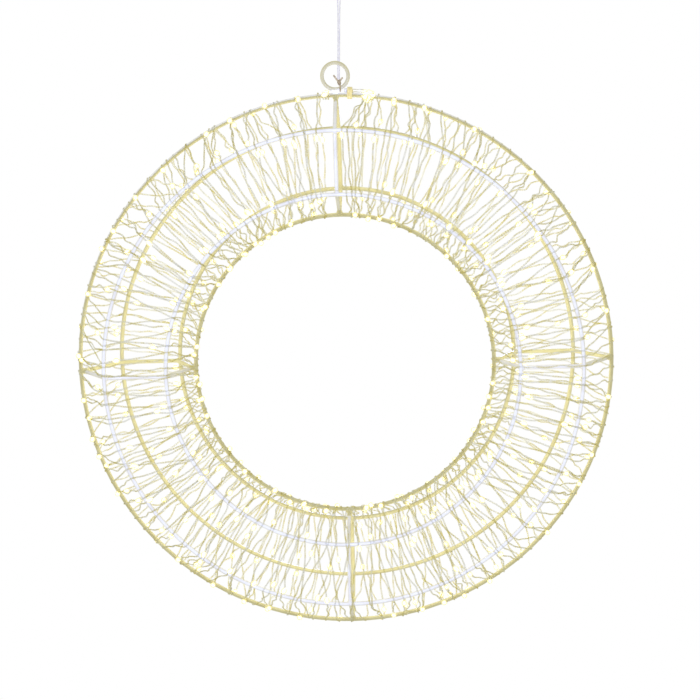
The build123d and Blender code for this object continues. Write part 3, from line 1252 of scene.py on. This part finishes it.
@dataclass
class Studio:
    """A white room with soft light, and the camera in front of the wreath. Colours are linear."""

    cage: WireCage
    white: str = "#FFFFFF"
    pitch: float = 9.01
    yaw: float = 2.25
    roll: float = -1.87
    distance: float = 1196.1 * MM
    aside: tuple = (-4.05 * MM, -10.41 * MM)
    lens_mm: float = 82.29
    ambient: tuple = (0.60, 0.57, 0.33)
    cool: tuple = (0.42, 0.5, 1.0)
    warm: tuple = (1.0, 0.98, 0.75)
    pale: tuple = (0.7, 0.72, 1.0)
    lilac: tuple = (0.55, 0.58, 1.0)
    amber: tuple = (1.0, 0.88, 0.6)
    gold: tuple = (1.0, 0.88, 0.4)
    room_radius: float = 6.0
    floor_radius: float = 5.0
    floor_below: float = 0.35
    flag_depth: float = 6.0 * MM
    flag_beyond: float = 0.95 * MM
    box_place: tuple = (-0.1, -1.6)
    box_height: float = 0.05
    glow_lights: int = 24
    glow_size: float = 18.0 * MM
    glow_power: float = 0.012
    foot_place: tuple = (0.0, -28.0 * MM, -24.0 * MM)
    foot_size: float = 6.0 * MM
    foot_power: float = 0.015

    def camera(self) -> None:
        """Sets the camera: a long lens a little above the middle, turned and rolled slightly."""
        pitch, yaw, roll = (math.radians(angle) for angle in (self.pitch, self.yaw, self.roll))
        ahead = Vector((-math.sin(yaw) * math.cos(pitch), math.cos(yaw) * math.cos(pitch), -math.sin(pitch)))
        level = Vector((math.cos(yaw), math.sin(yaw), 0.0))
        up = level.cross(ahead)
        right = level * math.cos(roll) + up * math.sin(roll)
        top = up * math.cos(roll) - level * math.sin(roll)
        centre = Vector((0.0, 0.0, self.cage.centre_z))
        data = bpy.data.cameras.new("camera")
        data.lens = self.lens_mm
        data.clip_start = 0.05
        data.clip_end = 50.0
        seen_from = bpy.data.objects.new("camera", data)
        place = centre - right * self.aside[0] - top * self.aside[1] - ahead * self.distance
        turned = Matrix((right, top, -ahead)).transposed().to_4x4()
        seen_from.matrix_world = Matrix.Translation(place) @ turned
        bpy.context.scene.collection.objects.link(seen_from)
        bpy.context.scene.camera = seen_from

    def glowing(self, name: str) -> Material:
        """A surface lit to plain white."""
        material = bpy.data.materials.new(name)
        material.use_nodes = True
        tree = material.node_tree
        tree.nodes.clear()
        light = add_node(tree, "Emission", {"Color": linear(self.white), "Strength": 1.0})
        add_node(tree, "OutputMaterial", links={"Surface": light.outputs[0]})
        material.cycles.emission_sampling = "NONE"
        return material

    def only_seen(self, piece: bpy.types.Object) -> None:
        """Shows a piece of the room to the camera, and keeps its light off the wreath."""
        piece.visible_diffuse = False
        piece.visible_glossy = False
        piece.visible_transmission = False
        piece.visible_volume_scatter = False
        piece.visible_shadow = False

    def room(self) -> None:
        """Builds the white backdrop and the white floor below the wreath."""
        deselect_all()
        bpy.ops.mesh.primitive_uv_sphere_add(segments=48, ring_count=24, radius=self.room_radius)
        dome = new_piece("backdrop")
        bpy.ops.object.mode_set(mode="EDIT")
        bpy.ops.mesh.select_all(action="SELECT")
        bpy.ops.mesh.flip_normals()
        bpy.ops.object.mode_set(mode="OBJECT")
        dress(dome, self.glowing("white_backdrop"))
        self.only_seen(dome)
        deselect_all()
        bpy.ops.mesh.primitive_circle_add(
            vertices=64,
            radius=self.floor_radius,
            fill_type="NGON",
            location=(0, 0, CAD_BOX[0].z - self.floor_below),
        )
        floor = new_piece("floor")
        dress(floor, self.glowing("white_floor"))
        self.only_seen(floor)

    def world(self) -> None:
        """Fills the room with dim, warm light."""
        world = bpy.data.worlds.new("room_light")
        world.use_nodes = True
        world.cycles.sampling_method = "NONE"
        back = world.node_tree.nodes["Background"]
        back.inputs["Color"].default_value = (*self.ambient, 1.0)
        back.inputs["Strength"].default_value = 1.0
        bpy.context.scene.world = world

    def flag(self, name: str, depth: float) -> bpy.types.Object:
        """A flag across the cage at a depth, which only stops light."""
        deselect_all()
        bpy.ops.mesh.primitive_circle_add(
            vertices=96,
            radius=self.cage.hoop_radii[0] + self.flag_beyond,
            fill_type="NGON",
            location=(0, depth, self.cage.centre_z),
            rotation=(math.pi / 2, 0, 0),
        )
        made = new_piece(name)
        self.only_seen(made)
        made.visible_camera = False
        made.visible_shadow = True
        return made

    def area(self, name: str, place: Vector, size: float, power: float, colour: tuple) -> bpy.types.Object:
        """Puts up a soft box aimed at the middle of the wreath.

        Args:
            name: The light's name.
            place: Where it stands.
            size: Its width in metres.
            power: Watts.
            colour: Linear red, green and blue.

        Returns:
            The light.
        """
        data = bpy.data.lights.new(name, "AREA")
        data.shape = "DISK"
        data.size = size
        data.energy = power
        data.color = colour
        light = bpy.data.objects.new(name, data)
        light.location = place
        aim = Vector((0, 0, self.cage.centre_z)) - place
        light.rotation_euler = aim.to_track_quat("-Z", "Y").to_euler()
        bpy.context.scene.collection.objects.link(light)
        return light

    def bulb(self, name: str, size: float, power: float, colour: tuple) -> bpy.types.Light:
        """A small round light of a size in metres and a power in watts, for one place or more."""
        data = bpy.data.lights.new(name, "POINT")
        data.shadow_soft_size = size
        data.energy = power
        data.color = colour
        return data

    def reach(self, light: bpy.types.Object, pieces: list, blockers: bpy.types.Collection) -> None:
        """Lets a light reach only some pieces.

        Args:
            light: The light.
            pieces: What it lights.
            blockers: What throws shadows in it.
        """
        lit = bpy.data.collections.new(light.name + "_pieces")
        for piece in pieces:
            lit.objects.link(piece)
        light.light_linking.receiver_collection = lit
        light.light_linking.blocker_collection = blockers

    def key(
        self,
        name: str,
        pieces: list,
        blockers: bpy.types.Collection,
        *,
        power: float,
        colour: tuple,
        side: int = 1,
        size: float = 0.9,
    ) -> None:
        """Lights only some pieces with a soft box.

        Args:
            name: The light's name.
            pieces: What it lights.
            blockers: What throws shadows in it.
            power: Watts.
            colour: Linear red, green and blue.
            side: 1 in front of the wreath, -1 behind it.
            size: The box's width in metres.
        """
        x, y = self.box_place
        light = self.area(name, Vector((x * side, y * side, self.box_height)), size, power, colour)
        self.reach(light, pieces, blockers)

    def lamp_glow(self, flags: bpy.types.Collection) -> None:
        """A ring of small warm lights inside the cage, for the light of all the lamps together."""
        data = self.bulb("lamp_glow", self.glow_size, self.glow_power, self.gold)
        apart = 360 / self.glow_lights
        for number in range(self.glow_lights):
            light = bpy.data.objects.new(f"lamp_glow_{number + 1}", data)
            light.location = self.cage.place(self.cage.middle_radius, 0.0, (number + 0.5) * apart)
            light.light_linking.blocker_collection = flags
            bpy.context.scene.collection.objects.link(light)

    def foot_light(self, pieces: list, blockers: bpy.types.Collection) -> None:
        """A small cool light low in front of the ring, which picks out the weld under it."""
        data = self.bulb("foot_light", self.foot_size, self.foot_power, self.cool)
        light = bpy.data.objects.new("foot_light", data)
        light.location = self.foot_place
        self.reach(light, pieces, blockers)
        bpy.context.scene.collection.objects.link(light)

    def lights(self) -> None:
        """Places the lights. Those on the hoops are flagged, so that each lights its own side of the cage."""
        flags = {
            "front": self.flag("front_flag", -self.flag_depth),
            "back": self.flag("back_flag", self.flag_depth),
        }
        not_flags = bpy.data.collections.new("not_flags")
        for flag in flags.values():
            not_flags.objects.link(flag)
        for link in not_flags.collection_objects:
            link.light_linking.link_state = "EXCLUDE"
        pieces = bpy.data.objects
        ring = [frame["nodes"]["hanging_eye"]]
        hoops = [node for node in self.cage.nodes() if node not in ring]
        hoops.append(pieces["shrink_sleeve"])
        for (end, flag), side in zip(flags.items(), (1, -1)):
            only = bpy.data.collections.new(f"{end}_flag_only")
            only.objects.link(flag)
            self.key(f"hoop_{end}", hoops, only, side=side, size=0.3, power=24.0, colour=self.cool)
        self.key("ring_front", ring, not_flags, size=0.12, power=2.5, colour=self.pale)
        self.foot_light([*ring, frame["nodes"]["eye_weld"]], not_flags)
        line = [pieces["line_cord"], pieces["line_knot_tied"]]
        self.key("line_front", line, not_flags, power=22.0, colour=self.lilac)
        wires = [piece for piece in pieces if piece.name.startswith(("string_wire", "start_", "turn_"))]
        wires.append(pieces["lead_pair"])
        self.key("wires_front", wires, not_flags, power=6.5, colour=self.cool)
        self.key("wires_back", wires, not_flags, side=-1, power=2.5, colour=self.warm)
        self.key("tie_front", [frame["nodes"]["cable_tie"]], not_flags, power=8.5, colour=self.amber)
        self.lamp_glow(not_flags)

    def build(self) -> None:
        """Puts up the room, its light and the camera."""
        self.camera()
        self.room()
        self.world()
        self.lights()
        bpy.context.scene.view_settings.view_transform = "Standard"
        log.info("studio: ready")


def main() -> None:
    """Builds the wreath, dresses it and sets up the studio."""
    logging.basicConfig(level=logging.INFO, format="%(name)s %(message)s")
    cage = WireCage()
    cage.build()
    lacquer = LacqueredWire().material()
    lamp = Droplet().build()
    string = LightString(cage)
    string.build(lamp, lacquer)
    StringEnds(cage, string).build(lamp, lacquer)
    lamp.remove()
    HangingLine().build()
    Studio(cage).build()


if __name__ == "__main__":
    main()
